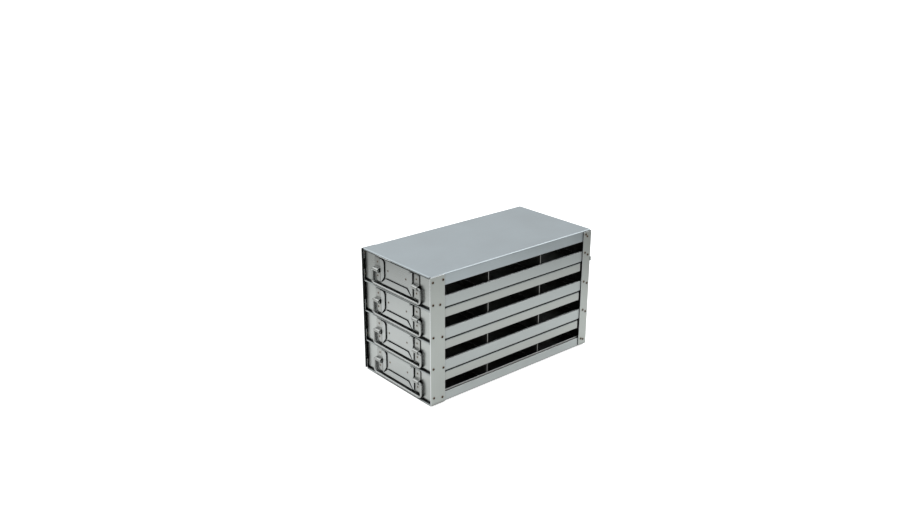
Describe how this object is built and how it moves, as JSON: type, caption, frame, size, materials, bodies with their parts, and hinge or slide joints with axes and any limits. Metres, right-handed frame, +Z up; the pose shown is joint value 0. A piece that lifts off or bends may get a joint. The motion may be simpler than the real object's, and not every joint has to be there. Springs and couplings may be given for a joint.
{
  "type": "freezer drawer rack",
  "caption": "Riveted stainless sheet rack for an upright freezer, with pull-out drawers split into equal bays, folded label holders and hanging wire bails.",
  "frame": {"origin": "centre of the rack's bounding box, on the plane that it stands on", "axes": "+X to the right as seen from the drawer fronts, +Y to the rear, +Z up"},
  "size_m": [0.141, 0.2848, 0.1717],
  "materials": {
    "panel_steel": "satin",
    "rail_steel": "satin",
    "post_steel": "satin",
    "drawer_steel": "satin",
    "label_steel": "satin",
    "strap_steel": "satin",
    "wire_steel": "polished",
    "rivet_steel": "satin"
  },
  "bodies": {
    "frame": {"top_panel": "panel_steel", "base_panel": "panel_steel", "shelf_1": "panel_steel", "shelf_2": "panel_steel", "shelf_3": "panel_steel", "rail_left_1": "rail_steel", "rail_left_2": "rail_steel", "rail_left_3": "rail_steel", "rail_right_1": "rail_steel", "rail_right_2": "rail_steel", "rail_right_3": "rail_steel", "front_post_left": "post_steel", "front_post_right": "post_steel", "rear_post_left": "post_steel", "rear_post_right": "post_steel", "rear_tie_bar": "post_steel", "front_left_rivets": "rivet_steel", "front_right_rivets": "rivet_steel", "rear_left_rivets": "rivet_steel", "rear_right_rivets": "rivet_steel"},
    "drawer_1": {"drawer_1_tray": "drawer_steel", "drawer_1_front": "drawer_steel", "drawer_1_back": "drawer_steel", "drawer_1_divider_front": "drawer_steel", "drawer_1_divider_rear": "drawer_steel", "drawer_1_label_holder": "label_steel", "drawer_1_strap_left": "strap_steel", "drawer_1_strap_right": "strap_steel", "drawer_1_rivets": "rivet_steel"},
    "bail_1": {"drawer_1_bail": "wire_steel"},
    "drawer_2": {"drawer_2_tray": "drawer_steel", "drawer_2_front": "drawer_steel", "drawer_2_back": "drawer_steel", "drawer_2_divider_front": "drawer_steel", "drawer_2_divider_rear": "drawer_steel", "drawer_2_label_holder": "label_steel", "drawer_2_strap_left": "strap_steel", "drawer_2_strap_right": "strap_steel", "drawer_2_rivets": "rivet_steel"},
    "bail_2": {"drawer_2_bail": "wire_steel"},
    "drawer_3": {"drawer_3_tray": "drawer_steel", "drawer_3_front": "drawer_steel", "drawer_3_back": "drawer_steel", "drawer_3_divider_front": "drawer_steel", "drawer_3_divider_rear": "drawer_steel", "drawer_3_label_holder": "label_steel", "drawer_3_strap_left": "strap_steel", "drawer_3_strap_right": "strap_steel", "drawer_3_rivets": "rivet_steel"},
    "bail_3": {"drawer_3_bail": "wire_steel"},
    "drawer_4": {"drawer_4_tray": "drawer_steel", "drawer_4_front": "drawer_steel", "drawer_4_back": "drawer_steel", "drawer_4_divider_front": "drawer_steel", "drawer_4_divider_rear": "drawer_steel", "drawer_4_label_holder": "label_steel", "drawer_4_strap_left": "strap_steel", "drawer_4_strap_right": "strap_steel", "drawer_4_rivets": "rivet_steel"},
    "bail_4": {"drawer_4_bail": "wire_steel"}
  },
  "joints": [
    {"name": "drawer_1_slide", "type": "slide", "parent": "frame", "child": "drawer_1", "axis": [0, -1, 0], "range_m": [0, 0.245]},
    {"name": "bail_1_swing", "type": "hinge", "parent": "drawer_1", "child": "bail_1", "pos_m": [0, -0.13987, 0.1502], "axis": [-1, 0, 0], "range_deg": [0, 160]},
    {"name": "drawer_2_slide", "type": "slide", "parent": "frame", "child": "drawer_2", "axis": [0, -1, 0], "range_m": [0, 0.245]},
    {"name": "bail_2_swing", "type": "hinge", "parent": "drawer_2", "child": "bail_2", "pos_m": [0, -0.13987, 0.1078], "axis": [-1, 0, 0], "range_deg": [0, 160]},
    {"name": "drawer_3_slide", "type": "slide", "parent": "frame", "child": "drawer_3", "axis": [0, -1, 0], "range_m": [0, 0.245]},
    {"name": "bail_3_swing", "type": "hinge", "parent": "drawer_3", "child": "bail_3", "pos_m": [0, -0.13987, 0.0654], "axis": [-1, 0, 0], "range_deg": [0, 160]},
    {"name": "drawer_4_slide", "type": "slide", "parent": "frame", "child": "drawer_4", "axis": [0, -1, 0], "range_m": [0, 0.245]},
    {"name": "bail_4_swing", "type": "hinge", "parent": "drawer_4", "child": "bail_4", "pos_m": [0, -0.13987, 0.024], "axis": [-1, 0, 0], "range_deg": [0, 160]}
  ]
}
